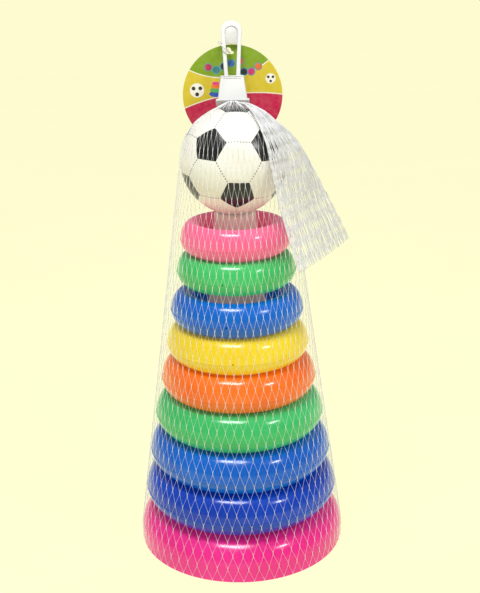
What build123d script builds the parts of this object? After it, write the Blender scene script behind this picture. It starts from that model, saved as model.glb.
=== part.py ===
from build123d import *

import math
import os
from dataclasses import dataclass

# A ring-toss stacking tower in its shop net: a base with a tapered post, eight hollow rings that
# get smaller upwards, a ball on top, and round it all a net that a clip closes under a hang loop.
# Millimetres. +Z is up, the origin is on the floor under the post, -Y faces the front.

# ---- rings, from ring_1 at the top to ring_8 at the bottom
RING_DIAMETERS = (87.6, 94.8, 106.6, 114.8, 126.2, 138.0, 149.2, 159.0)
RING_HEIGHT = 25.0          # height of the top ring
RING_HEIGHT_STEP = 1.35     # each ring below is this much taller
RING_WIDTH = 18.2           # section of the top ring, from bore to rim
RING_WIDTH_STEP = 1.8       # each ring below is this much wider
RING_WALL = 1.3
RING_LIFTS = {1: 5.5}       # ring_2 is held this far off ring_3 by the net
SEAM_SHARE = 0.43           # the parting line's height, as a share of the ring's height
SEAM_PROUD = 0.35           # how far the parting ridge stands out
SEAM_HEIGHT = 0.8
BLOW_HOLE_RADIUS = 0.8
BLOW_HOLE_TURNS = (160, -13, -9, -4, 125, -150, -47, 6)    # degrees round from the front

# ---- base
BASE_DIAMETER = 170.0
BASE_HEIGHT = 32.4
BASE_CROWN_WIDTH = 24.0     # the rounded rim, measured inwards
BASE_LIP_HEIGHT = 11.5      # the upright wall under the rounded rim
BASE_WALL = 2.4
RIB_COUNT = 8
RIB_THICKNESS = 1.8

# ---- post
POST_RING_PLAY = 9.3        # gap all round between the post and each end ring's bore
POST_WALL = 1.6
POST_ABOVE_RINGS = 6.8      # how far the post stands out of the top ring
POST_SHOULDER = 2.4         # rounding of its top edge
FOOT_RADIUS = 34.0
FOOT_DEPTH = 18.0
FOOT_CLEARANCE = 0.15
SPIGOT_RADIUS = 9.0
SPIGOT_HEIGHT = 13.0

# ---- ball
BALL_DIAMETER = 83.2
BALL_WALL = 2.0
BALL_SINK = 1.6             # how far the ball sits down in the dished top of the post
SOCKET_CLEARANCE = 0.4
SOCKET_WALL = 2.0
SOCKET_OVERRUN = 3.0        # the socket tube reaches this far past the spigot's end

# ---- net
NET_THICKNESS = 0.8
NET_GAP = 0.5               # between the net and what it covers
NET_FLOOR_THICKNESS = 0.6   # the closed end, flat under the base
NECK_BASE_RADIUS = 10.0
NECK_RADIUS = 5.5
TAIL_START_RADIUS = 14.0    # where the turned-down end leaves the neck
TAIL_REACH = 92.0           # how far out its hem hangs
TAIL_DROP = 108.0           # how far its hem hangs below the top of the net
TAIL_BEND_RADIUS = 55.0     # where its curve over the ball becomes a straight fall
TAIL_BEND_DROP = 32.0
TAIL_BEND_MIDDLE = (0.54, 0.34)    # the curve's middle, as shares of its way out and down
TAIL_FRONT_TURN = 55.0      # degrees that the fan reaches to the front and to the back of +X
TAIL_BACK_TURN = 28.0

# ---- clip and hang loop, along an axis that leans back from the centre of the ball
HEAD_LEAN = 25.5
CLIP_ABOVE_NET = 3.4
CLIP_HEIGHT = 20.6
CLIP_WIDTH_LOW = 23.6
CLIP_WIDTH_HIGH = 18.2
CLIP_DEPTH_LOW = 11.4
CLIP_DEPTH_HIGH = 9.6
CLIP_FLANGE = 1.4           # how far the rims stand out
CLIP_FLANGE_HEIGHT = 1.5
CLIP_CORNER = 1.2
CLIP_PANEL_INSET = 2.4      # border round the sunk front panel
CLIP_PANEL_DEPTH = 0.45
CLIP_TRAVEL = 12.0
LOOP_THICKNESS = 3.0
LOOP_STRAND = 3.1
LOOP_CROWN = 5.0            # the loop is thicker over its top
LOOP_TOP_WIDTH = 16.4
LOOP_FOOT_WIDTH = 10.6
LOOP_LENGTH = 63.8
LOOP_EDGE_ROUNDING = 0.6
LOOP_FOOT_CORNER = 1.5
LOOP_IN_CLIP = 3.6          # the loop's foot sits this far up inside the clip
SLIDE_CLEARANCE = 0.35

# ---- header card
CARD_DIAMETER = 80.0
CARD_THICKNESS = 0.6
CARD_NET_GAP = 0.6
CARD_HOLE_RADIUS = 2.6
CARD_HOLE_FROM_EDGE = 4.8
HOOK_SLOT_LENGTH = 3.4
HOOK_SLOT_WIDTH = 2.2
TIE_RADIUS = 6.0
TIE_WIRE_RADIUS = 0.6
TIE_CARD_OFFSET = 4.2       # the card hangs this far behind the strand it is tied to

REST_GAP = 0.3              # between a piece and the one it rests on
PROFILE_STEPS = 400


@dataclass
class Section:
    """Cross-section of a ring: half an oval above the parting line and a flatter half below."""

    centre: float
    half: float
    up: float
    down: float

    def share(self, radius):
        """Height of the oval at this radius, as a share of its full height."""
        return math.sqrt(max(0.0, 1.0 - ((radius - self.centre) / self.half) ** 2))


def ring_section(index):
    height = RING_HEIGHT + RING_HEIGHT_STEP * index
    half = (RING_WIDTH + RING_WIDTH_STEP * index) / 2
    centre = RING_DIAMETERS[index] / 2 - half
    return Section(centre, half, height * (1 - SEAM_SHARE), height * SEAM_SHARE)


RING_COUNT = len(RING_DIAMETERS)
SECTIONS = [ring_section(index) for index in range(RING_COUNT)]
BASE_RADIUS = BASE_DIAMETER / 2
BASE_BOTTOM = NET_FLOOR_THICKNESS
BASE_TOP = BASE_BOTTOM + BASE_HEIGHT
CROWN_CENTRE = BASE_RADIUS - BASE_CROWN_WIDTH
LIP_TOP = BASE_BOTTOM + BASE_LIP_HEIGHT
BALL_RADIUS = BALL_DIAMETER / 2


def base_top_at(radius):
    """Height of the base's upper surface, level in the middle and rounded over at the rim."""
    if radius <= CROWN_CENTRE:
        return BASE_TOP
    share = math.sqrt(max(0.0, 1 - ((radius - CROWN_CENTRE) / BASE_CROWN_WIDTH) ** 2))
    return LIP_TOP + (BASE_TOP - LIP_TOP) * share


def seam_above_base(ring):
    """Height of a ring's parting line when the ring touches the base."""
    low = ring.centre - ring.half
    high = min(ring.centre + ring.half, BASE_RADIUS)
    radii = [low + (high - low) * step / PROFILE_STEPS for step in range(PROFILE_STEPS + 1)]
    return max(base_top_at(radius) + ring.down * ring.share(radius) for radius in radii)


def seam_rise(lower, upper):
    """How far apart two rings' parting lines are when the upper ring touches the lower one."""
    low = max(lower.centre - lower.half, upper.centre - upper.half)
    high = min(lower.centre + lower.half, upper.centre + upper.half)
    radii = [low + (high - low) * step / PROFILE_STEPS for step in range(PROFILE_STEPS + 1)]
    return max(
        lower.up * lower.share(radius) + upper.down * upper.share(radius) for radius in radii
    )


def seam_heights():
    """Height of every ring's parting line, stacked from the bottom ring upwards."""
    heights = [0.0] * RING_COUNT
    last = RING_COUNT - 1
    heights[last] = seam_above_base(SECTIONS[last]) + REST_GAP
    for index in range(last - 1, -1, -1):
        rise = seam_rise(SECTIONS[index + 1], SECTIONS[index]) + REST_GAP
        heights[index] = heights[index + 1] + rise + RING_LIFTS.get(index, 0.0)
    return heights


SEAMS = seam_heights()
POST_TOP = SEAMS[0] + SECTIONS[0].up + POST_ABOVE_RINGS
POST_TOP_RADIUS = SECTIONS[0].centre - SECTIONS[0].half - POST_RING_PLAY
POST_LOW_RADIUS = SECTIONS[-1].centre - SECTIONS[-1].half - POST_RING_PLAY
SOCKET_FLOOR = BASE_TOP - FOOT_DEPTH
BALL_Z = POST_TOP - BALL_SINK + BALL_RADIUS
NET_INSIDE = BALL_RADIUS + NET_GAP
NET_OUTSIDE = NET_INSIDE + NET_THICKNESS
NET_TOP = BALL_Z + NET_OUTSIDE

# The head frame: +Z runs up the leaning axis of the clip and loop, from the centre of the ball.
LEAN = math.radians(HEAD_LEAN)
HEAD = Plane(origin=(0, 0, BALL_Z), x_dir=(1, 0, 0), z_dir=(0, math.sin(LEAN), math.cos(LEAN)))
CLIP_BOTTOM = NET_OUTSIDE + CLIP_ABOVE_NET
CLIP_TOP = CLIP_BOTTOM + CLIP_HEIGHT
LOOP_BOTTOM = CLIP_BOTTOM + LOOP_IN_CLIP
LOOP_TOP = LOOP_BOTTOM + LOOP_LENGTH
CROWN_RADIUS = LOOP_TOP_WIDTH / 2
CROWN_Z = LOOP_TOP - CROWN_RADIUS

# The card hangs upright behind the ball, tied to the loop's left strand.
CARD_Y = NET_OUTSIDE + CARD_NET_GAP + CARD_THICKNESS / 2
TIE_ALONG = (CARD_Y - TIE_CARD_OFFSET) / math.sin(LEAN)


def loop_half_width(along):
    """Half the loop's outside width at a distance along the head's axis."""
    share = (along - LOOP_BOTTOM) / (CROWN_Z - LOOP_BOTTOM)
    return (LOOP_FOOT_WIDTH + (LOOP_TOP_WIDTH - LOOP_FOOT_WIDTH) * share) / 2


TIE_X = -(loop_half_width(TIE_ALONG) - LOOP_STRAND / 2)
TIE_Z = BALL_Z + TIE_ALONG * math.cos(LEAN)
TIE_STEP = math.sqrt((TIE_RADIUS**2 - TIE_CARD_OFFSET**2) / 2)    # sideways and down to the hole
HOLE_X = TIE_X + TIE_STEP
HOLE_Z = TIE_Z - TIE_STEP
CARD_Z = HOLE_Z + CARD_HOLE_FROM_EDGE - CARD_DIAMETER / 2


def oval(section, seam, inset=0.0):
    """The outline of a ring's section, or of the cavity inside its wall."""
    centre = (section.centre, seam)
    half = section.half - inset
    above = EllipticalCenterArc(centre, half, section.up - inset, start_angle=0, arc_size=180)
    below = EllipticalCenterArc(centre, half, section.down - inset, start_angle=180, arc_size=180)
    return Plane.XZ * make_face(above + below)


def make_ring(index):
    """A hollow blow-moulded ring with its parting ridge and the small hole it was blown through."""
    section, seam = SECTIONS[index], SEAMS[index]
    ridge = Rectangle(2 * (section.half + SEAM_PROUD), SEAM_HEIGHT)
    shell = oval(section, seam) + Plane.XZ * Pos(section.centre, seam) * ridge
    ring = revolve(shell - oval(section, seam, RING_WALL), Axis.Z)
    hole = Cylinder(BLOW_HOLE_RADIUS, 4 * RING_WALL, rotation=(90, 0, 0))
    rim = section.centre + section.half
    return ring - Rot(0, 0, BLOW_HOLE_TURNS[index]) * Pos(0, -rim, seam) * hole


def base_outline(inset):
    """Half of the base's domed outline, as far as the post's socket, set in by a wall."""
    rim, top = BASE_RADIUS - inset, BASE_TOP - inset
    crown = EllipticalCenterArc(
        (CROWN_CENTRE, LIP_TOP), rim - CROWN_CENTRE, top - LIP_TOP, start_angle=0, arc_size=90
    )
    start = Line((rim, BASE_BOTTOM), (rim, LIP_TOP))
    rest = Polyline((CROWN_CENTRE, top), (0, top), (0, BASE_BOTTOM), (rim, BASE_BOTTOM))
    return revolve(Plane.XZ * make_face(start + crown + rest), Axis.Z)


def make_base():
    """A domed moulding, open underneath, with a socket tube for the post and radial ribs."""
    socket_radius = FOOT_RADIUS + FOOT_CLEARANCE
    tube_radius = socket_radius + BASE_WALL
    tube = Pos(0, 0, SOCKET_FLOOR - BASE_WALL) * Cylinder(
        tube_radius,
        BASE_TOP - SOCKET_FLOOR + BASE_WALL,
        align=(Align.CENTER, Align.CENTER, Align.MIN),
    )
    hollow = base_outline(BASE_WALL)
    shell = base_outline(0) - hollow
    rib_length = BASE_RADIUS - tube_radius
    rib = Pos(tube_radius + rib_length / 2, 0, (LIP_TOP + BASE_TOP) / 2) * Box(
        rib_length, RIB_THICKNESS, BASE_TOP - LIP_TOP
    )
    ribs = [Rot(0, 0, 360 * turn / RIB_COUNT) * rib & hollow for turn in range(RIB_COUNT)]
    socket = Pos(0, 0, SOCKET_FLOOR) * Cylinder(
        socket_radius, BASE_HEIGHT, align=(Align.CENTER, Align.CENTER, Align.MIN)
    )
    drain = Pos(0, 0, SOCKET_FLOOR) * Cylinder(socket_radius - BASE_WALL * 2, BASE_HEIGHT)
    base = shell + tube
    for one in ribs:
        base += one
    return base - socket - drain


def post_side(inset, bottom, top):
    """Half of the post's outline, or of the cavity inside its wall."""
    foot = FOOT_RADIUS - inset
    return [
        (0, bottom),
        (foot, bottom),
        (foot, BASE_TOP + inset),
        (POST_LOW_RADIUS - inset, BASE_TOP + inset),
        (POST_TOP_RADIUS - inset, top),
        (0, top),
    ]


def solid_of(points):
    return revolve(Plane.XZ * make_face(Polyline(*points, close=True)), Axis.Z)


def make_post():
    """A hollow tapered post: a foot that plugs into the base and a spigot that holds the ball."""
    body = solid_of(post_side(0, SOCKET_FLOOR + REST_GAP, POST_TOP))
    body = fillet(body.edges().group_by(Axis.Z)[-1], POST_SHOULDER)
    spigot_start = POST_TOP - BALL_SINK - POST_WALL
    spigot = Pos(0, 0, spigot_start) * Cylinder(
        SPIGOT_RADIUS,
        POST_TOP + SPIGOT_HEIGHT - spigot_start,
        align=(Align.CENTER, Align.CENTER, Align.MIN),
    )
    spigot = chamfer(spigot.edges().group_by(Axis.Z)[-1], POST_WALL / 2)
    dish = Pos(0, 0, BALL_Z) * Sphere(BALL_RADIUS + REST_GAP)
    ceiling = POST_TOP - BALL_SINK - REST_GAP - POST_WALL
    inside = solid_of(post_side(POST_WALL, SOCKET_FLOOR, ceiling))
    return (body - dish + spigot) - inside


def make_ball():
    """A hollow ball with a socket tube in its underside that drops over the spigot."""
    socket_radius = SPIGOT_RADIUS + SOCKET_CLEARANCE
    tube_top = POST_TOP + SPIGOT_HEIGHT + SOCKET_OVERRUN
    tube = Pos(0, 0, BALL_Z - BALL_RADIUS) * Cylinder(
        socket_radius + SOCKET_WALL,
        tube_top - BALL_Z + BALL_RADIUS,
        align=(Align.CENTER, Align.CENTER, Align.MIN),
    )
    skin = Pos(0, 0, BALL_Z) * (Sphere(BALL_RADIUS) - Sphere(BALL_RADIUS - BALL_WALL))
    tube &= Pos(0, 0, BALL_Z) * Sphere(BALL_RADIUS)
    bore = Pos(0, 0, BALL_Z - 2 * BALL_RADIUS) * Cylinder(
        socket_radius,
        tube_top - BALL_Z + 2 * BALL_RADIUS,
        align=(Align.CENTER, Align.CENTER, Align.MIN),
    )
    return skin + tube - bore


def taut_line():
    """Where the net is stretched over the base and rings and drawn in to the ball's equator."""
    low_radius = max(BASE_RADIUS, RING_DIAMETERS[-1] / 2 + SEAM_PROUD) + NET_GAP
    points = [(low_radius, BASE_BOTTOM + REST_GAP), (low_radius, LIP_TOP)]
    for index in range(RING_COUNT - 1, -1, -1):
        points.append((RING_DIAMETERS[index] / 2 + SEAM_PROUD + NET_GAP, SEAMS[index]))
    line = []
    for point in points:
        while len(line) > 1 and lies_inside(line[-2], line[-1], point):
            line.pop()
        line.append(point)
    return line + [(NET_INSIDE, BALL_Z)]


def lies_inside(low, middle, high):
    """Whether a stretched net would pass outside the middle point."""
    share = (middle[1] - low[1]) / (high[1] - low[1])
    return middle[0] <= low[0] + (high[0] - low[0]) * share


def net_shape(outset):
    """The space inside the net, or inside its outer face."""
    side = [(radius + outset, height) for radius, height in taut_line()]
    dome = CenterArc((0, BALL_Z), NET_INSIDE + outset, 0, 90)
    bottom = side[0][1]
    close = Polyline((0, NET_INSIDE + outset + BALL_Z), (0, bottom), side[0])
    return revolve(Plane.XZ * make_face(Polyline(*side) + dome + close), Axis.Z)


def make_net_sleeve():
    """The net bag over the whole tower, gathered at its neck under the clip."""
    sleeve = net_shape(NET_THICKNESS) - net_shape(0)
    neck_start = NET_INSIDE - NECK_BASE_RADIUS / 2
    flare = Pos(0, 0, neck_start) * Cone(
        NECK_BASE_RADIUS,
        NECK_RADIUS,
        CLIP_BOTTOM - neck_start,
        align=(Align.CENTER, Align.CENTER, Align.MIN),
    )
    bunch = Pos(0, 0, CLIP_BOTTOM) * Cylinder(
        NECK_RADIUS / 2, LOOP_IN_CLIP, align=(Align.CENTER, Align.CENTER, Align.MIN)
    )
    neck = flare + bunch - Sphere(NET_INSIDE + NET_THICKNESS / 4)
    return sleeve + HEAD.location * neck


def make_net_tail():
    """The net's open end, turned back down through the clip and fanned out over one side."""
    start = (TAIL_START_RADIUS, NET_TOP)
    bend = (TAIL_BEND_RADIUS, NET_TOP - TAIL_BEND_DROP)
    out, down = TAIL_BEND_MIDDLE
    middle = (
        TAIL_START_RADIUS + (TAIL_BEND_RADIUS - TAIL_START_RADIUS) * out,
        NET_TOP - TAIL_BEND_DROP * down,
    )
    hem = (TAIL_REACH, NET_TOP - TAIL_DROP)
    line = ThreePointArc(start, middle, bend) + Line(bend, hem)
    strip = Plane.XZ * trace(line, NET_THICKNESS)
    fan = revolve(strip, Axis.Z, TAIL_FRONT_TURN + TAIL_BACK_TURN)
    return Rot(0, 0, -TAIL_FRONT_TURN) * fan


def make_net_bottom():
    """The net's closed end, gathered flat under the base."""
    return Cylinder(
        BASE_RADIUS - BASE_WALL / 2,
        NET_FLOOR_THICKNESS,
        align=(Align.CENTER, Align.CENTER, Align.MIN),
    )


def clip_block(grow, low, high):
    """A tapering block of the clip between two heights, larger all round by grow."""
    def plate(height):
        share = (height - CLIP_BOTTOM) / CLIP_HEIGHT
        width = CLIP_WIDTH_LOW + (CLIP_WIDTH_HIGH - CLIP_WIDTH_LOW) * share + 2 * grow
        depth = CLIP_DEPTH_LOW + (CLIP_DEPTH_HIGH - CLIP_DEPTH_LOW) * share + 2 * grow
        return Plane.XY.offset(height) * RectangleRounded(width, depth, CLIP_CORNER)

    return loft([plate(low), plate(high)])


def clip_panel():
    """The shallow sunk panel on the clip's front, following its sloping face."""
    def plate(height):
        share = (height - CLIP_BOTTOM) / CLIP_HEIGHT
        width = CLIP_WIDTH_LOW + (CLIP_WIDTH_HIGH - CLIP_WIDTH_LOW) * share - 2 * CLIP_PANEL_INSET
        face = (CLIP_DEPTH_LOW + (CLIP_DEPTH_HIGH - CLIP_DEPTH_LOW) * share) / 2
        depth = 2 * CLIP_FLANGE
        floor = face - CLIP_PANEL_DEPTH
        return Plane.XY.offset(height) * Pos(0, -floor - depth / 2) * Rectangle(width, depth)

    low = CLIP_BOTTOM + CLIP_FLANGE_HEIGHT + CLIP_PANEL_INSET / 2
    high = CLIP_TOP - CLIP_FLANGE_HEIGHT / 2 - CLIP_PANEL_INSET / 2
    return loft([plate(low), plate(high)])


def make_clip_collar():
    """The one-way clip: a tapering sleeve with a rim at each end, that slides up the loop."""
    block = clip_block(0, CLIP_BOTTOM, CLIP_TOP)
    rim = clip_block(CLIP_FLANGE, CLIP_BOTTOM, CLIP_BOTTOM + CLIP_FLANGE_HEIGHT)
    lip = clip_block(CLIP_FLANGE / 3, CLIP_TOP - CLIP_FLANGE_HEIGHT / 2, CLIP_TOP)
    passage_width = 2 * (loop_half_width(CLIP_TOP + CLIP_TRAVEL) + SLIDE_CLEARANCE)
    passage = Pos(0, 0, (CLIP_BOTTOM + CLIP_TOP) / 2) * Box(
        passage_width, LOOP_THICKNESS + 2 * SLIDE_CLEARANCE, 2 * CLIP_HEIGHT
    )
    mouth_radius = NECK_RADIUS / 2 + SLIDE_CLEARANCE
    mouth = Pos(0, 0, CLIP_BOTTOM) * Cylinder(mouth_radius, 4 * LOOP_IN_CLIP)
    return HEAD.location * (block + rim + lip - clip_panel() - passage - mouth)


def loop_outline(inset_side, inset_top, inset_foot):
    """A long eye, round at the top and narrower at its foot."""
    crown = CROWN_RADIUS - inset_side
    corner = LOOP_FOOT_CORNER if inset_side == 0 else LOOP_FOOT_CORNER / 2
    foot_x = LOOP_FOOT_WIDTH / 2 - inset_side - corner
    foot_z = LOOP_BOTTOM + inset_foot + corner
    circles = Pos(0, LOOP_TOP - inset_top - crown) * Circle(crown)
    circles += Pos(foot_x, foot_z) * Circle(corner)
    circles += Pos(-foot_x, foot_z) * Circle(corner)
    return make_hull(circles.edges())


def make_hang_loop():
    """The moulded loop that the net is caught on and the whole thing hangs by."""
    outline = loop_outline(0, 0, 0) - loop_outline(LOOP_STRAND, LOOP_CROWN, LOOP_STRAND)
    loop = extrude(Plane.XZ * outline, LOOP_THICKNESS / 2, both=True)
    edges = loop.edges().filter_by(Plane.XZ)
    return HEAD.location * fillet(edges, LOOP_EDGE_ROUNDING)


def make_header_card():
    """A round card with a hook-shaped hang hole."""
    card = Circle(CARD_DIAMETER / 2)
    hole_from_centre = HOLE_Z - CARD_Z
    card -= Pos(HOLE_X, hole_from_centre) * Circle(CARD_HOLE_RADIUS)
    slot = SlotOverall(HOOK_SLOT_LENGTH + HOOK_SLOT_WIDTH, HOOK_SLOT_WIDTH)
    slot_drop = CARD_HOLE_RADIUS - HOOK_SLOT_WIDTH / 2
    card -= Pos(HOLE_X + HOOK_SLOT_LENGTH / 2, hole_from_centre - slot_drop) * slot
    sheet = extrude(Plane.XZ * card, CARD_THICKNESS / 2, both=True)
    return Pos(0, CARD_Y, CARD_Z) * sheet


def make_card_tie():
    """A small plastic ring through the card's hole and round the loop's left strand."""
    plane = Plane(
        origin=(TIE_X, CARD_Y - TIE_CARD_OFFSET, TIE_Z), x_dir=(0, 1, 0), z_dir=(1, 0, 1)
    )
    return plane.location * Torus(TIE_RADIUS, TIE_WIRE_RADIUS)


os.makedirs("parts", exist_ok=True)
pieces = {
    "base": make_base(),
    "post": make_post(),
    "ball": make_ball(),
    "net_sleeve": make_net_sleeve(),
    "net_tail": make_net_tail(),
    "net_bottom": make_net_bottom(),
    "clip_collar": make_clip_collar(),
    "hang_loop": make_hang_loop(),
    "header_card": make_header_card(),
    "card_tie": make_card_tie(),
}
for number in range(RING_COUNT):
    pieces[f"ring_{number + 1}"] = make_ring(number)
for name, piece in pieces.items():
    export_step(piece, f"parts/{name}.step")

print("parting lines at", [round(height, 2) for height in SEAMS])
print("ring bottoms at", [round(SEAMS[i] - SECTIONS[i].down, 2) for i in range(RING_COUNT)])
print("post top", round(POST_TOP, 2), "radius", round(POST_TOP_RADIUS, 2))
print("post's lowest radius", round(POST_LOW_RADIUS, 2))
print("ball centre", round(BALL_Z, 2), "net top", round(NET_TOP, 2))
print("tie at", [round(v, 2) for v in (TIE_X, CARD_Y - TIE_CARD_OFFSET, TIE_Z)])
print("card centre", round(CARD_Z, 2))
print("loop runs from", round(LOOP_BOTTOM, 2), "to", round(LOOP_TOP, 2), "along the head's axis")
print("net line", [(round(r, 2), round(z, 2)) for r, z in taut_line()])
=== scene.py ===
# %% [markdown]
# # A ring-toss tower in its shop net
# The CAD model gives every size: a domed base, a tapered post, eight hollow rings, a ball, a net
# bag, a clip with its hang loop and a round card. Blender adds what CAD can't: the plastic, the
# woven net, the printed ball and the printed card. Lengths are in metres, +Z is up, -Y is the front.

# %% Open the frame
import math

import bpy
import numpy as np
from mathutils import Matrix, Vector


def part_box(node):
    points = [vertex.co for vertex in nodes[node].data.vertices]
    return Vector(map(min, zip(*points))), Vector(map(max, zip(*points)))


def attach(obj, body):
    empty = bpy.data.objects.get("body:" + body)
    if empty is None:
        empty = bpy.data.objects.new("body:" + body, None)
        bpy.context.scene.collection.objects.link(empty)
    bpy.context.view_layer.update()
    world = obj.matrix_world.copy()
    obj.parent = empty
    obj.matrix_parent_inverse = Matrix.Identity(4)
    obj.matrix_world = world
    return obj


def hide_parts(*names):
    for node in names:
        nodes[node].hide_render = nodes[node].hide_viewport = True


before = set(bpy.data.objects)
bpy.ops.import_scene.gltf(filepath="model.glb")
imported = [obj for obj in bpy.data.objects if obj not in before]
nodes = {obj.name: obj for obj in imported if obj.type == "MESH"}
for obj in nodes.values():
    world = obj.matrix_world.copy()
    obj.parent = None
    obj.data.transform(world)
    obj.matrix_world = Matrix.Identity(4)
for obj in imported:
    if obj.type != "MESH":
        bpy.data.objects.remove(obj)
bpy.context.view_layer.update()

MM = 0.001

# %% [markdown]
# ## The camera
# The tower is seen from a little above, so that every ring shows its upper face and the bore of the
# top ring is open. A long lens keeps the rings' outlines nearly parallel. The tower leans a degree
# to the left, which is a slight roll of the camera and not a bent post.

# %% Stand the camera in front
CAMERA_PLACE = (0.0025, -0.802, 0.470)
CAMERA_PITCH = math.radians(17.87)    # down from level
CAMERA_ROLL = math.radians(-1.2)
LENS_MM = 78.15
SENSOR_MM = 36

bpy.ops.object.camera_add(location=CAMERA_PLACE)
camera = bpy.context.object
tip = Matrix.Rotation(math.radians(90) - CAMERA_PITCH, 3, "X")
camera.rotation_euler = (tip @ Matrix.Rotation(CAMERA_ROLL, 3, "Z")).to_euler()
camera.data.sensor_fit = "HORIZONTAL"
camera.data.sensor_width = SENSOR_MM
camera.data.lens = LENS_MM
bpy.context.scene.camera = camera
print("camera at", [round(v, 3) for v in camera.location])

# %% [markdown]
# ## Light and floor
# Blow-moulded plastic is told by its highlights. A wide softbox high in front draws the long streak
# on each ring, and a small lamp at the right draws the short second one. The floor glows a little
# by itself, so it stays pale under the tower, and the world lifts the shadows.

# %% Hang the lamps and lay the floor
MAIN_BOX = dict(place=(-0.15, -0.42, 1.28), size=0.5, height=0.3, watts=10.5)
SIDE_BOX = dict(place=(0.72, -0.52, 0.90), size=0.2, height=0.1, watts=2.6)
AIM = Vector((0, 0, 0.2))
PALE_YELLOW = (1.0, 0.985, 0.63)
FLOOR_HALF = 30.0


def hang_lamp(name, place, size, height, watts):
    bpy.ops.object.light_add(type="AREA", location=place)
    lamp = bpy.context.object
    lamp.name = name
    lamp.data.shape = "RECTANGLE"
    lamp.data.size = size
    lamp.data.size_y = height
    lamp.data.energy = watts
    lamp.rotation_euler = (AIM - Vector(place)).to_track_quat("-Z", "Y").to_euler()
    return lamp


hang_lamp("main_softbox", **MAIN_BOX)
hang_lamp("side_softbox", **SIDE_BOX)
bpy.context.scene.view_settings.view_transform = "Standard"
world = bpy.data.worlds.new("studio")
bpy.context.scene.world = world
world.use_nodes = True
world.node_tree.nodes["Background"].inputs["Color"].default_value = (1.0, 0.99, 0.93, 1)
world.node_tree.nodes["Background"].inputs["Strength"].default_value = 0.32
bpy.ops.mesh.primitive_plane_add(size=2 * FLOOR_HALF)
floor = bpy.context.object
floor.name = "floor"
print("two lamps, a floor and a soft world")

# %% [markdown]
# ## Finishes
# Every finish is a small graph of nodes on a Principled shader. One helper class adds nodes and
# joins them, so that a finish reads as a list of what the surface does: its tint, its shine and
# its relief. Patterns use Object coordinates, which stay with the piece when it moves.

# %% A helper that builds a finish
class Finish:
    """A material whose nodes are added one call at a time."""

    def __init__(self, name):
        self.material = bpy.data.materials.new(name)
        self.material.use_nodes = True
        self.tree = self.material.node_tree
        self.shader = self.tree.nodes["Principled BSDF"]
        self.place = self.node("TexCoord").outputs["Object"]

    def node(self, kind, settings=(), **inputs):
        made = self.tree.nodes.new("ShaderNode" + kind)
        for key, value in dict(settings).items():
            setattr(made, key, value)
        for socket, value in inputs.items():
            self.feed(made.inputs[socket.replace("_", " ")], value)
        return made

    def feed(self, socket, value):
        if isinstance(value, bpy.types.NodeSocket):
            self.tree.links.new(value, socket)
        else:
            socket.default_value = value

    def math(self, operation, *values):
        made = self.tree.nodes.new("ShaderNodeMath")
        made.operation = operation
        for socket, value in zip(made.inputs, values):
            self.feed(socket, value)
        return made.outputs[0]

    def spread(self, value, low, high, out_low, out_high):
        """Maps a value from one range to another, held at both ends."""
        made = self.node("MapRange")
        for name, number in zip(
            ("Value", "From Min", "From Max", "To Min", "To Max"),
            (value, low, high, out_low, out_high),
        ):
            self.feed(made.inputs[name], number)
        return made.outputs[0]

    def noise(self, scale, detail=3.0, stretch=(1, 1, 1)):
        moved = self.node("Mapping", Vector=self.place, Scale=stretch).outputs[0]
        return self.node("TexNoise", Vector=moved, Scale=scale, Detail=detail).outputs["Fac"]

    def mix(self, share, first, second):
        made = self.node("Mix", {"data_type": "RGBA"})
        for socket, value in ((0, share), (6, first), (7, second)):
            self.feed(made.inputs[socket], value)
        return made.outputs[2]

    def bump(self, height, strength, distance, under=None):
        made = self.node("Bump", Height=height, Strength=strength, Distance=distance)
        if under is not None:
            self.feed(made.inputs["Normal"], under)
        return made.outputs["Normal"]

    def shade(self, **inputs):
        for socket, value in inputs.items():
            self.feed(self.shader.inputs[socket.replace("_", " ")], value)
        return self.material


def tint(red, green, blue):
    """A colour given in screen values, 0 to 255, as the shader's linear values."""
    def linear(value):
        value /= 255
        return value / 12.92 if value <= 0.04045 else ((value + 0.055) / 1.055) ** 2.4

    return (linear(red), linear(green), linear(blue), 1.0)


def paint(name, material):
    """Gives a CAD node its finish."""
    for slot in nodes[name].material_slots:
        slot.material = material


# %% Finish the floor
floor_finish = Finish("floor_paper")
paper = floor_finish.noise(3.0)
floor_finish.shade(
    Base_Color=floor_finish.mix(
        floor_finish.spread(paper, 0.4, 0.6, 0, 1),
        (*[0.14 * v for v in PALE_YELLOW], 1),
        (*[0.12 * v for v in PALE_YELLOW], 1),
    ),
    Roughness=0.9,
    Emission_Color=(*PALE_YELLOW, 1),
    Emission_Strength=0.92,
)
floor.data.materials.append(floor_finish.material)

# %% [markdown]
# ## Moulded plastic
# The rings and the base are blown from polyethylene: a waxy skin with a soft shine, pigment that
# swirls slightly, a faint orange-peel ripple from the mould, and rubbed spots that have gone dull.
# Light goes a little way in, and a painted glow in the pigment's colour keeps the shaded sides
# colourful.

# %% Colour the rings and the base
RING_TINTS = {
    "ring_1": ((240, 108, 152), (234, 88, 136)),
    "ring_2": ((64, 188, 104), (46, 172, 82)),
    "ring_3": ((4, 102, 200), (0, 88, 186)),
    "ring_4": ((240, 212, 44), (232, 198, 30)),
    "ring_5": ((242, 122, 36), (236, 106, 24)),
    "ring_6": ((66, 190, 112), (48, 174, 90)),
    "ring_7": ((4, 102, 204), (0, 88, 190)),
    "ring_8": ((4, 70, 190), (0, 56, 174)),
    "base": ((236, 48, 150), (228, 34, 136)),
}


SHINY, RUBBED = 0.17, 0.17 + 0.2    # roughness
PAINTED_WALL_GLOW = 0.14    # strength of a painted glow in the pigment's colour, standing in for light the thin walls pass on to their shaded sides


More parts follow.
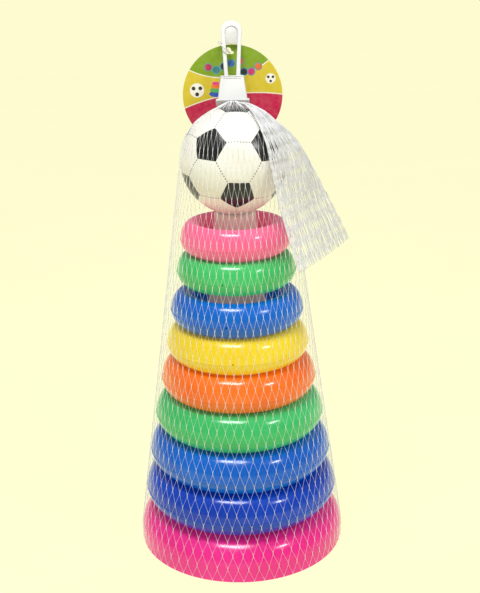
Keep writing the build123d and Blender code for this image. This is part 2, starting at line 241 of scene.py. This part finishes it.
def moulded_plastic(name, light, deep):
    finish = Finish(name)
    swirl = finish.spread(finish.noise(16, 2, (1, 1, 2.2)), 0.35, 0.7, 0, 1)
    rubbed = finish.spread(finish.noise(120, 5, (1, 1, 3)), 0.5, 0.75, 0, 1)
    ripple = finish.bump(finish.noise(55, 2), 0.25, 0.0006)
    peel = finish.bump(finish.noise(900, 2), 0.12, 0.00008, ripple)
    pigment = finish.mix(swirl, tint(*light), tint(*deep))
    return finish.shade(
        Base_Color=pigment,
        # painted glow: the pigment's colour is emitted evenly over the whole surface, standing in
        # for light through the walls
        Emission_Color=pigment,
        Emission_Strength=PAINTED_WALL_GLOW,
        Roughness=finish.spread(rubbed, 0, 1, SHINY, RUBBED),
        Specular_IOR_Level=0.42,
        Subsurface_Weight=0.3,
        Subsurface_Radius=(1.0, 0.8, 0.8),
        Subsurface_Scale=0.006,
        Coat_Weight=0.15,
        Coat_Roughness=0.1,
        Normal=peel,
    )


for name, (light, deep) in RING_TINTS.items():
    paint(name, moulded_plastic(f"{name}_plastic", light, deep))
print(len(RING_TINTS), "moulded pieces coloured")

# %% [markdown]
# ## Milky and white plastic
# The post is blown without pigment, so it is milky; its tint is warmed by a painted reflection of
# the pink ring round its top. The clip, the loop and the card's tie are white: the same graph with
# other numbers.

# %% Finish the post, the clip, the loop and the tie
def natural_plastic(name, colour, shine, painted_glow):
    finish = Finish(name)
    haze = finish.spread(finish.noise(40, 3, (1, 1, 0.4)), 0.35, 0.7, 0, 1)
    rubbed = finish.spread(finish.noise(300, 4), 0.45, 0.8, 0, 0.15)
    relief = finish.bump(finish.noise(160, 2), 0.15, 0.0002)
    darker = [0.93 * value for value in colour]
    return finish.shade(
        Base_Color=finish.mix(haze, tint(*colour), tint(*darker)),
        Roughness=finish.math("ADD", rubbed, shine),
        IOR=1.5,
        Subsurface_Weight=painted_glow,
        Subsurface_Radius=(1.0, 1.0, 1.0),
        Subsurface_Scale=0.006,
        # painted glow: the plastic's colour is emitted evenly over the surface; the same number also
        # sets the real subsurface weight
        Emission_Color=finish.mix(haze, tint(*colour), tint(*darker)),
        Emission_Strength=0.3 * painted_glow,
        Normal=relief,
    )


# painted reflection: the post's tint is warmed for the light of the pink ring round its top
paint("post", natural_plastic("milky_plastic", (226, 200, 192), 0.25, 0.5))
white_plastic = natural_plastic("white_plastic", (208, 208, 208), 0.3, 0.15)
for name in ("clip_collar", "hang_loop", "card_tie"):
    paint(name, white_plastic)

# %% [markdown]
# The loop's crown is closed by a thin web of the same plastic, which keeps the loop from folding.
# A half disc with a straight lower edge would do, so a flat disc is cut across, given its thickness
# and softened along its edges. It leans back with the loop.

# %% Close the loop's crown with a web
HEAD_LEAN = math.radians(25.5)
CROWN_HALF_WIDTH = 6.6 * MM
CROWN_TOP = 112.2 * MM
WEB_FOOT = 95.0 * MM
WEB_THICKNESS = 1.1 * MM
WEB_EDGE = 0.35 * MM
WEB_TAPER = 0.93
head_axis = Vector((0, math.sin(HEAD_LEAN), math.cos(HEAD_LEAN)))
ball_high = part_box("ball")[1]
ball_radius = ball_high.x
ball_centre = Vector((0, 0, ball_high.z - ball_radius))


def start_editing(piece):
    bpy.ops.object.select_all(action="DESELECT")
    piece.select_set(True)
    bpy.context.view_layer.objects.active = piece
    bpy.ops.object.mode_set(mode="EDIT")
    bpy.ops.mesh.select_all(action="SELECT")


def stop_editing():
    bpy.ops.object.mode_set(mode="OBJECT")


bpy.ops.object.select_all(action="DESELECT")
bpy.ops.mesh.primitive_circle_add(
    vertices=40, radius=CROWN_HALF_WIDTH, fill_type="NGON", rotation=(math.radians(90), 0, 0)
)
web = bpy.context.object
web.name = "hang_loop_web"
bpy.ops.object.transform_apply(rotation=True)
start_editing(web)
bpy.ops.mesh.bisect(plane_co=(0, 0, 0), plane_no=(0, 0, 1), clear_inner=True)
bpy.ops.mesh.select_all(action="DESELECT")
bpy.ops.mesh.select_mode(type="EDGE")
stop_editing()
for line in web.data.edges:
    line.select = all(abs(web.data.vertices[i].co.z) < 1e-6 for i in line.vertices)
bpy.ops.object.mode_set(mode="EDIT")
straight_run = CROWN_TOP - CROWN_HALF_WIDTH - WEB_FOOT
bpy.ops.mesh.extrude_region_move(TRANSFORM_OT_translate={"value": (0, 0, -straight_run)})
bpy.ops.transform.resize(value=(WEB_TAPER, 1, 1))
bpy.ops.mesh.select_mode(type="VERT")
stop_editing()
thicken = web.modifiers.new("thicken", "SOLIDIFY")
thicken.thickness = WEB_THICKNESS
thicken.offset = 0
bpy.ops.object.modifier_apply(modifier="thicken")
soften = web.modifiers.new("soften", "BEVEL")
soften.width = WEB_EDGE
soften.segments = 2
soften.limit_method = "ANGLE"
bpy.ops.object.modifier_apply(modifier="soften")
web.location = ball_centre + head_axis * (CROWN_TOP - CROWN_HALF_WIDTH)
web.rotation_euler = (-HEAD_LEAN, 0, 0)
bpy.ops.object.transform_apply(location=True, rotation=True)
start_editing(web)
bpy.ops.mesh.normals_make_consistent(inside=False)
stop_editing()
bpy.ops.object.shade_smooth_by_angle(angle=math.radians(40))
web.data.materials.append(natural_plastic("web_plastic", (204, 204, 203), 0.25, 0.15))
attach(web, "net")
print("the web has", len(web.data.polygons), "faces")

# %% [markdown]
# ## The ball
# A classic ball pattern is an icosahedron with its corners cut off: twelve black pentagons and
# twenty white hexagons. Cutting the corners at a third of each edge makes both shapes regular. The
# panels are then divided and pressed out to a sphere, and the underside is opened for the post.
# Three small turns put the pentagons where they sit on the post.

# %% Cut the panels
BALL_TURN = [math.radians(turn) for turn in (2.84, 1.54, 23.22)]
SOCKET_RADIUS = 9.4 * MM
SOCKET_TOP = 298.2 * MM
PANEL_CUTS = 11

bpy.ops.object.select_all(action="DESELECT")
bpy.ops.mesh.primitive_ico_sphere_add(subdivisions=1, radius=ball_radius)
ball = bpy.context.object
ball.name = "printed_ball"
start_editing(ball)
bpy.ops.mesh.bevel(offset_type="PERCENT", offset_pct=100 / 3, segments=1, affect="VERTICES")
stop_editing()
ball.rotation_euler = BALL_TURN
bpy.ops.object.transform_apply(rotation=True)
corners = [np.array(v.co.normalized()) for v in ball.data.vertices]
sides = {tuple(sorted(edge.vertices)): 0 for edge in ball.data.edges}
pentagons = []
for panel in ball.data.polygons:
    if len(panel.vertices) == 5:
        pentagons.append([corners[i] for i in panel.vertices])
        for pair in panel.edge_keys:
            sides[pair] += 1
seams = [(corners[a], corners[b]) for (a, b), black in sides.items() if not black]
print(len(pentagons), "pentagons and", len(seams), "seams between hexagons")

# %% Press the panels out to a sphere and open the underside
start_editing(ball)
bpy.ops.mesh.poke()
bpy.ops.mesh.subdivide(number_cuts=PANEL_CUTS)
stop_editing()
press = ball.modifiers.new("press", "CAST")
press.factor = 1
press.use_radius_as_size = False
press.size = ball_radius
bpy.ops.object.modifier_apply(modifier="press")
mouth = math.sqrt(ball_radius**2 - SOCKET_RADIUS**2)
start_editing(ball)
bpy.ops.mesh.bisect(plane_co=(0, 0, -mouth), plane_no=(0, 0, 1), clear_inner=True)
lift = {"value": (0, 0, SOCKET_TOP - ball_centre.z + mouth)}
bpy.ops.mesh.extrude_region_move(TRANSFORM_OT_translate=lift)
bpy.ops.mesh.edge_face_add()
bpy.ops.mesh.select_all(action="SELECT")
bpy.ops.mesh.normals_make_consistent(inside=False)
stop_editing()
ball.location = ball_centre
bpy.ops.object.transform_apply(location=True)
bpy.ops.object.shade_smooth_by_angle(angle=math.radians(40))
print("the ball has", len(ball.data.polygons), "faces")

# %% [markdown]
# The print needs to know how far each point is from the panels' edges. The distances are kept on
# the mesh as attributes: they are true at every corner of the mesh, and the panels' edges are edges
# of the mesh, so a line drawn from them is sharp at any width.

# %% Measure the panels' edges
def note(piece, name, values):
    """Keeps one number for each of a mesh's points."""
    attribute = piece.data.attributes.new(name, "FLOAT", "POINT")
    attribute.data.foreach_set("value", np.asarray(values, np.float32))


points = np.array([v.co for v in ball.data.vertices]) - np.array(ball_centre)
directions = points / np.linalg.norm(points, axis=1)[:, None]
inside = np.full(len(points), -1.0)
for panel in pentagons:
    depth = np.full(len(points), 1.0)
    middle = sum(panel)
    for first, second in zip(panel, panel[1:] + panel[:1]):
        normal = np.cross(first, second)
        normal *= np.sign(normal @ middle) / np.linalg.norm(normal)
        depth = np.minimum(depth, directions @ normal)
    inside = np.maximum(inside, depth)
seam = np.full(len(points), 1.0)
along = np.zeros(len(points))
for first, second in seams:
    normal = np.cross(first, second)
    normal /= np.linalg.norm(normal)
    run = second - first
    share = (directions - first) @ run / (run @ run)
    away = np.abs(directions @ normal)
    away[(share < -0.02) | (share > 1.02) | (directions @ (first + second) < 0)] = 1.0
    nearer = away < seam
    seam[nearer] = away[nearer]
    along[nearer] = share[nearer] * np.linalg.norm(run)
note(ball, "pentagon_depth", inside * ball_radius)
note(ball, "seam_distance", seam * ball_radius)
note(ball, "seam_along", along * ball_radius)

# %% Print the ball
STITCH_PITCH = 2.2 * MM
STITCH_HALF_WIDTH = 0.34 * MM
PANEL_BORDER = 0.45 * MM

ball_finish = Finish("printed_vinyl")


def carried(finish, name):
    return finish.node("Attribute", {"attribute_name": name}).outputs["Fac"]


depth = carried(ball_finish, "pentagon_depth")
distance = carried(ball_finish, "seam_distance")
black = ball_finish.math("GREATER_THAN", depth, PANEL_BORDER)
turn = ball_finish.math("MULTIPLY", carried(ball_finish, "seam_along"), 2 * math.pi / STITCH_PITCH)
stitch = ball_finish.math("GREATER_THAN", ball_finish.math("SINE", turn), -0.1)
on_seam = ball_finish.math("LESS_THAN", distance, STITCH_HALF_WIDTH)
dots = ball_finish.math("MULTIPLY", stitch, on_seam)
ink = ball_finish.math("MAXIMUM", black, dots)
edge = ball_finish.math("MINIMUM", ball_finish.math("ABSOLUTE", depth), distance)
groove = ball_finish.bump(ball_finish.spread(edge, 0, 0.0011, 0, 1), 0.35, 0.0004)
soiled = ball_finish.spread(ball_finish.noise(38, 4), 0.4, 0.75, 0, 1)
vinyl = ball_finish.mix(soiled, tint(243, 241, 236), tint(232, 228, 220))
worn = ball_finish.spread(ball_finish.noise(420, 4), 0.62, 0.8, 0, 1)
black_ink = ball_finish.mix(worn, tint(20, 20, 22), tint(52, 52, 56))
ball.data.materials.append(
    ball_finish.shade(
        Base_Color=ball_finish.mix(ink, vinyl, black_ink),
        Roughness=ball_finish.spread(soiled, 0, 1, 0.24, 0.38),
        Subsurface_Weight=0.08,
        Subsurface_Scale=0.004,
        Coat_Weight=0.15,
        Coat_Roughness=0.25,
        Normal=ball_finish.bump(ball_finish.noise(700, 2), 0.08, 0.00008, groove),
    )
)
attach(ball, "ball")
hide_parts("ball")

# %% [markdown]
# ## The net
# The bag is extruded netting: two sets of plastic strands lean opposite ways round a tube and are
# welded where they cross. Pulled over the tower, each weld stretches into a short upright bar, and
# the strands between bars make diamonds. One function draws both sets over any surface that is
# given as a place for each turn round the tube and each length along it. It is made as mesh code,
# because thousands of equal strands that follow a free surface are no work for hand tools.

# %% A helper that weaves netting over a surface
NET_COLUMNS = 64
STRAND_RADIUS = 0.12 * MM
WELD_RADIUS = 0.28 * MM
STEPS_IN_ROW = (0.0, 0.06, 0.3, 0.7, 0.94)    # where a strand has a point, between two welds
STRAIGHT_PART = 0.06
WELD_PART = 0.13
STRAND_SIDES = 3
PROBE = 1e-4


def ease(share):
    share = np.clip(share, 0, 1)
    return share * share * (3 - 2 * share)


def unit(vectors):
    return vectors / np.maximum(np.linalg.norm(vectors, axis=-1, keepdims=True), 1e-12)


def weave(name, surface, length, rows, slack=lambda share: 0 * share):
    """Draws the strands of netting over surface(turn, along), which gives (n, 3) places.

    slack(share of the length) is 0 where the netting is stretched, which draws its strands thin,
    and 1 where it is loose.
    """
    shares = np.concatenate([row + np.array(STEPS_IN_ROW) for row in range(rows)] + [[rows]])
    part = shares % 1.0
    leaned = np.floor(shares) + np.clip((part - STRAIGHT_PART) / (1 - 2 * STRAIGHT_PART), 0, 1)
    near_weld = 1 - ease(np.minimum(part, 1 - part) / WELD_PART)
    loose = slack(shares / rows)
    body = loose + (1 - loose) * near_weld
    radius = STRAND_RADIUS + (WELD_RADIUS - STRAND_RADIUS) * body
    columns = np.arange(NET_COLUMNS)[:, None]
    rings = []
    for lean in (0.5, -0.5):
        turn = (columns + lean * leaned[None, :]) / NET_COLUMNS
        along = np.broadcast_to(shares / rows * length, turn.shape)
        centre = surface(turn, along)
        run = unit(np.gradient(centre, axis=1))
        out = unit(np.cross(surface(turn + PROBE, along) - centre, run))
        side = np.cross(run, out)
        for corner in range(STRAND_SIDES):
            angle = 2 * math.pi * corner / STRAND_SIDES
            offset = math.cos(angle) * out + math.sin(angle) * side
            rings.append(centre + radius[None, :, None] * offset)
    count = len(shares)
    places = np.concatenate([ring.reshape(-1, 3) for ring in rings])
    faces = []
    step = np.arange(count - 1)
    for lean in range(2):
        first = lean * STRAND_SIDES
        for corner in range(STRAND_SIDES):
            here = (first + corner) * NET_COLUMNS * count
            there = (first + (corner + 1) % STRAND_SIDES) * NET_COLUMNS * count
            start = (columns * count + step[None, :]).ravel()
            quads = np.stack([here + start, here + start + 1, there + start + 1, there + start], 1)
            faces += quads[:, ::-1].tolist()
        ends = [(first + corner) * NET_COLUMNS * count for corner in range(STRAND_SIDES)]
        for column in range(NET_COLUMNS):
            foot = [end + column * count for end in ends]
            faces += [foot[::-1], [place + count - 1 for place in foot]]
    mesh = bpy.data.meshes.new(name)
    mesh.from_pydata(places.tolist(), [], faces)
    mesh.polygons.foreach_set("use_smooth", [True] * len(mesh.polygons))
    piece = bpy.data.objects.new(name, mesh)
    bpy.context.scene.collection.objects.link(piece)
    note(piece, "strand_body", np.tile(body, NET_COLUMNS * 2 * STRAND_SIDES))
    print(name, len(mesh.polygons), "faces,", rows, "rows over", round(length / MM), "mm")
    return piece


# %% [markdown]
# The net is drawn tight, so its side is the shortest line over the base and the rings. Above the
# ball's middle it follows the ball, while its pole leans back step by step to the line of the clip.
# It leaves the ball where a straight line touches both the ball and the neck.

# %% Find the net's side line
SEAM_SHARE = 0.43
NET_GAP = 0.6 * MM
HEM_HEIGHT = 0.4 * MM
BASE_WIDEST_HEIGHT = 11.5 * MM
NECK_RADIUS = 5.5 * MM
NECK_ALONG = 46.3 * MM
NECK_END = (3.2 * MM, 50.5 * MM)

base_low, base_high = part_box("base")
foot = base_high.x + NET_GAP
rims = [(foot, base_low.z + HEM_HEIGHT), (foot, base_low.z + BASE_WIDEST_HEIGHT)]
for number in range(8, 0, -1):
    low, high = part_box(f"ring_{number}")
    rims.append((high.x + NET_GAP, low.z + SEAM_SHARE * (high.z - low.z)))
rims.append((ball_radius + NET_GAP, ball_centre.z))


def taut(places):
    """The line that a stretched net follows: a point that it passes outside is dropped."""
    line = []
    for place in places:
        while len(line) > 1:
            (r0, z0), (r1, z1) = line[-2:]
            if r1 > r0 + (place[0] - r0) * (z1 - z0) / (place[1] - z0):
                break
            line.pop()
        line.append(place)
    return line


cover = ball_radius + NET_GAP
reach = math.hypot(NECK_RADIUS, NECK_ALONG)
leave = math.acos(cover / reach) + math.atan2(NECK_RADIUS, NECK_ALONG)    # from the head's axis
side_line = taut(rims)
arc = [
    (cover * math.cos(a), cover * math.sin(a)) for a in np.linspace(0, math.pi / 2 - leave, 30)[1:]
]
head_line = arc + [(NECK_RADIUS, NECK_ALONG), NECK_END]
meridian = np.array([(r, z - ball_centre.z) for r, z in side_line] + head_line)
lengths = np.concatenate([[0], np.cumsum(np.hypot(*np.diff(meridian, axis=0).T))])
SLEEVE_LENGTH = lengths[-1]
equator = lengths[len(side_line) - 1]
print("net line", [(round(r / MM, 1), round(z / MM, 1)) for r, z in side_line])

# %% Weave the sleeve
BUNCHES = 13


def lean_back(places, share):
    """Turns places about the ball's centre towards the line of the clip, by a share of its lean."""
    angle = -HEAD_LEAN * share
    x, y, z = np.moveaxis(places, -1, 0)
    cos, sin = np.cos(angle), np.sin(angle)
    return np.stack([x, y * cos - z * sin, y * sin + z * cos], -1)


def bunched(turn, gather):
    """Draws the strands together in bunches, by a share from 0 to 1."""
    waves = 2 * math.pi * BUNCHES
    return turn + gather * np.sin(waves * turn) / waves


def sleeve_surface(turn, along):
    gather = ease((along - equator) / (SLEEVE_LENGTH - equator))
    wander = 0.0016 * np.sin(2 * math.pi * 3 * turn + 26 * along)
    angle = 2 * math.pi * (bunched(turn, 0.9 * gather) + wander)
    radius = np.interp(along, lengths, meridian[:, 0])
    height = np.interp(along, lengths, meridian[:, 1])
    places = np.stack([radius * np.cos(angle), radius * np.sin(angle), height], -1)
    leaned = lean_back(places, ease((along - equator) / (0.8 * (SLEEVE_LENGTH - equator))))
    return leaned + np.array(ball_centre)


sleeve = weave(
    "net_bag_sleeve", sleeve_surface, SLEEVE_LENGTH, 35, lambda share: ease((share - 0.93) / 0.05)
)

# %% [markdown]
# The bag's open end comes out under the clip and falls over one side as a fan. It is still a tube,
# only flat, so it is woven with the same function: the first half turn is the outer layer and the
# second half is the inner one. It lies round the ball, flattens below it, and fine pleats open
# towards the hem. Where it would cut into the ball, its points are moved out.

# %% Weave the tail
FAN_FRONT, FAN_BACK = math.radians(-54), math.radians(6)
SIDE_GUIDE = np.array(
    [(9, 365.5), (20, 361.5), (31, 354), (41, 345.5), (50, 335.5), (58, 322)]
    + [(66.5, 306), (74.5, 290), (82.5, 274), (89, 260), (91, 255.5)]
) * MM
FRONT_GUIDE = np.array(
    [(9, 365), (20, 359.5), (30, 353), (37.5, 345), (43, 333), (47.5, 318)]
    + [(53, 302), (60, 286), (68, 270), (76, 255), (79, 249)]
) * MM
LAYER_GAP = 0.9 * MM
PLEATS = 8
PLEAT_DEPTH = 0.45 * MM
TAIL_CLEARANCE = 2.0 * MM    # outside the sleeve, where the fan lies on the ball
LAYER_SHIFT = 0.25 / NET_COLUMNS    # the layers never fall strand on strand
NECK_FOOT = np.array(ball_centre) + 45.3 * MM * np.array([0.05, head_axis.y, head_axis.z])
NECK_SHARE = 0.22    # of the tail's length is still drawn together
NECK_WIDTH = 0.35    # of its free width, under the clip
FLATTEST = 0.9

guide_steps = np.hypot(*np.diff(SIDE_GUIDE, axis=0).T)
guide_at = np.concatenate([[0], np.cumsum(guide_steps)])
TAIL_LENGTH = guide_at[-1]


def tail_surface(turn, along):
    across = 1 - np.abs(2 * ((turn + LAYER_SHIFT) % 1.0) - 1)
    down = along / TAIL_LENGTH
    folded = across + 0.004 * np.sin(2 * math.pi * PLEATS * across + 2.0 * down)
    angle = FAN_FRONT + (FAN_BACK - FAN_FRONT) * folded
    to_front = np.clip(angle / FAN_FRONT, 0, 1.1)
    radius, height = (
        np.interp(along, guide_at, SIDE_GUIDE[:, k]) * (1 - to_front)
        + np.interp(along, guide_at, FRONT_GUIDE[:, k]) * to_front
        for k in range(2)
    )
    wave = np.sin(2 * math.pi * PLEATS * across + 1.1 + 1.5 * down)
    wave += 0.8 * np.sin(2 * math.pi * 2.7 * PLEATS * across + 4 * down)
    stand = (0.25 + 0.75 * down) * PLEAT_DEPTH * wave + LAYER_GAP * np.sin(2 * math.pi * turn)
    radius = radius + stand
    places = np.stack([radius * np.cos(angle), radius * np.sin(angle), height + 0.4 * stand], -1)
    edges = []
    for side, guide in ((FAN_FRONT, FRONT_GUIDE), (FAN_BACK, SIDE_GUIDE)):
        reach = np.interp(along, guide_at, guide[:, 0]) + stand
        level = np.interp(along, guide_at, guide[:, 1])
        edges.append(np.stack([reach * math.cos(side), reach * math.sin(side), level], -1))
    flat_fan = edges[0] + (edges[1] - edges[0]) * folded[..., None]
    flatness = FLATTEST * ease((down - 0.35) / 0.45)[..., None]
    places = places * (1 - flatness) + flat_fan * flatness
    hold = (1 - ease(down / NECK_SHARE))[..., None]
    bunch = NECK_FOOT + NECK_WIDTH * (places - NECK_FOOT)
    from_ball = places * (1 - hold) + bunch * hold - np.array(ball_centre)
    away = np.linalg.norm(from_ball, axis=-1, keepdims=True)
    clear = cover + TAIL_CLEARANCE + stand[..., None]
    return np.array(ball_centre) + from_ball * np.maximum(1, clear / away)


tail = weave("net_bag_tail", tail_surface, TAIL_LENGTH, 12, lambda share: 0.97 + 0 * share)

# %% [markdown]
# Under the base the bag closes. Its strands run in to the middle and are gathered there in a small
# tuft that stands up in the hollow of the base, so the tower still stands flat.

# %% Weave the closed end
FLOOR_HEIGHT = 0.32 * MM
TUFT_RADIUS = 6 * MM
TUFT_HEIGHT = 11 * MM
end_line = np.array([
    (base_high.x, 2 * FLOOR_HEIGHT),
    (base_high.x - 2 * MM, FLOOR_HEIGHT),
    (TUFT_RADIUS, FLOOR_HEIGHT),
    (2.5 * MM, TUFT_HEIGHT),
])
end_lengths = np.concatenate([[0], np.cumsum(np.hypot(*np.diff(end_line, axis=0).T))])


def end_surface(turn, along):
    gather = ease(along / end_lengths[-1])
    angle = -2 * math.pi * bunched(turn, gather)
    radius = np.interp(along, end_lengths, end_line[:, 0])
    height = np.interp(along, end_lengths, end_line[:, 1])
    return np.stack([radius * np.cos(angle), radius * np.sin(angle), height], -1)


closed_end = weave(
    "net_bag_end", end_surface, end_lengths[-1], 8, lambda share: ease((share - 0.5) / 0.5)
)

# %% Finish the net and hang it on its bodies
def netting(name, light, deep, clear, solid, painted_glow):
    """Netting whose strands cover by the share clear, and its welds and slack strands by solid; the
    strands carry a painted glow.
    """
    finish = Finish(name)
    frost = finish.spread(finish.noise(500, 3), 0.35, 0.7, 0, 1)
    body = carried(finish, "strand_body")
    return finish.shade(
        Base_Color=finish.mix(frost, tint(*light), tint(*deep)),
        Roughness=finish.spread(frost, 0, 1, 0.28, 0.45),
        Alpha=finish.spread(body, 0, 1, clear, solid),
        # painted glow: the strands emit their own colour evenly, which keeps them pale where they
        # are shaded
        Emission_Color=finish.mix(frost, tint(*light), tint(*deep)),
        Emission_Strength=painted_glow,
        Normal=finish.bump(finish.noise(1800, 2), 0.2, 0.00005),
    )


stretched_net = netting("stretched_strand", (246, 246, 246), (228, 230, 230), 0.48, 0.95, 0.14)
slack_net = netting("slack_strand", (237, 237, 238), (216, 217, 219), 0.6, 0.92, 0.12)
for piece, finish, body, node in (
    (sleeve, stretched_net, "net", "net_sleeve"),
    (tail, slack_net, "net", "net_tail"),
    (closed_end, slack_net, "tower", "net_bottom"),
):
    piece.data.materials.append(finish)
    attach(piece, body)
    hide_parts(node)

# %% [markdown]
# ## The header card
# A printed board: green, yellow and crimson fields between thin white arcs, a row of coloured discs
# where a name would be, two small balls and a little stack of rings. The fields are circles on the
# card's own plane, so each one is a distance and a comparison. The back is plain grey board.

# %% Print the card
card_low, card_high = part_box("header_card")
CARD_CENTRE = ((card_low.x + card_high.x) / 2, (card_low.z + card_high.z) / 2)
LINE_HALF = 0.42    # the card's own measures are in mm from its centre
GREEN_ARC = ((-7.5, 73.2), 58.9)
CRIMSON_ARC = ((17.4, -143.4), 145.4)
DISC_ROW = (
    (-19.0, 22.6, (190, 30, 84)), (-12.6, 20.4, (32, 118, 134)), (-6.6, 23.0, (24, 30, 60)),
    (-0.6, 25.4, (40, 96, 180)), (6.4, 27.0, (222, 102, 40)), (9.4, 18.6, (24, 30, 60)),
    (15.2, 18.6, (204, 34, 120)), (20.8, 22.6, (222, 102, 40)),
)
RING_STACK = (
    (-13.4, 1.5, 5.4, (36, 84, 190)), (-13.4, 4.6, 4.6, (80, 180, 96)),
    (-13.4, 7.4, 3.8, (236, 120, 40)), (-13.4, 9.8, 3.0, (232, 60, 140)),
)
SMALL_BALLS = ((-28.5, 4.6, 5.7), (30.6, 13.0, 4.0))

card = Finish("printed_card")
split = card.node("SeparateXYZ", Vector=card.place)
flat_x = card.math("DIVIDE", card.math("SUBTRACT", split.outputs["X"], CARD_CENTRE[0]), MM)
flat_z = card.math("DIVIDE", card.math("SUBTRACT", split.outputs["Z"], CARD_CENTRE[1]), MM)


def distance_to(x, z, squash=1.0):
    """Millimetres from a place on the card, with heights stretched for a flat oval."""
    wide = card.math("POWER", card.math("SUBTRACT", flat_x, x), 2.0)
    tall = card.math("POWER", card.math("MULTIPLY", card.math("SUBTRACT", flat_z, z), squash), 2.0)
    return card.math("SQRT", card.math("ADD", wide, tall))


def lay(under, mask, colour):
    return card.mix(mask, under, tint(*colour))


from_green = distance_to(*GREEN_ARC[0])
from_crimson = distance_to(*CRIMSON_ARC[0])
print_ink = lay(tint(212, 190, 46), card.math("LESS_THAN", from_green, GREEN_ARC[1]), (124, 158, 30))
print_ink = lay(print_ink, card.math("LESS_THAN", from_crimson, CRIMSON_ARC[1]), (194, 22, 76))
for gone, arc_radius in ((from_green, GREEN_ARC[1]), (from_crimson, CRIMSON_ARC[1])):
    off = card.math("ABSOLUTE", card.math("SUBTRACT", gone, arc_radius))
    print_ink = lay(print_ink, card.math("LESS_THAN", off, LINE_HALF), (236, 232, 214))
for x, z, colour in DISC_ROW:
    away = distance_to(x, z)
    print_ink = lay(print_ink, card.math("LESS_THAN", away, 3.3), (70, 150, 160))
    print_ink = lay(print_ink, card.math("LESS_THAN", away, 2.6), colour)
for x, z, radius, colour in RING_STACK:
    print_ink = lay(print_ink, card.math("LESS_THAN", distance_to(x, z, 2.2), radius), colour)
for x, z, radius in SMALL_BALLS:
    print_ink = lay(print_ink, card.math("LESS_THAN", distance_to(x, z), radius), (238, 236, 228))
    for spoke in range(3):
        angle = math.radians(90 + 120 * spoke)
        spot = distance_to(x - 0.55 * radius * math.cos(angle), z - 0.55 * radius * math.sin(angle))
        print_ink = lay(print_ink, card.math("LESS_THAN", spot, 0.27 * radius), (26, 26, 30))
mottle = card.spread(card.noise(260, 4), 0.35, 0.7, 0, 0.06)
inked = card.mix(mottle, print_ink, tint(250, 240, 200))
board = card.mix(mottle, tint(214, 212, 204), tint(186, 184, 176))
front = card.math("LESS_THAN", split.outputs["Y"], card_low.y + 0.1 * MM)
paint("header_card", card.shade(
    Specular_IOR_Level=0.3,
    Base_Color=card.mix(front, board, inked),
    Roughness=card.spread(card.noise(90, 3), 0.35, 0.7, 0.3, 0.45),
    Normal=card.bump(card.noise(1200, 3), 0.15, 0.00006),
))

# %% [markdown]
# ## Close the frame
# The visual pieces take their sizes from the CAD model, and the scene is brought up to date. The
# visual model must stay as large as the CAD model.

# %% Bring the scene up to date
bpy.context.view_layer.update()
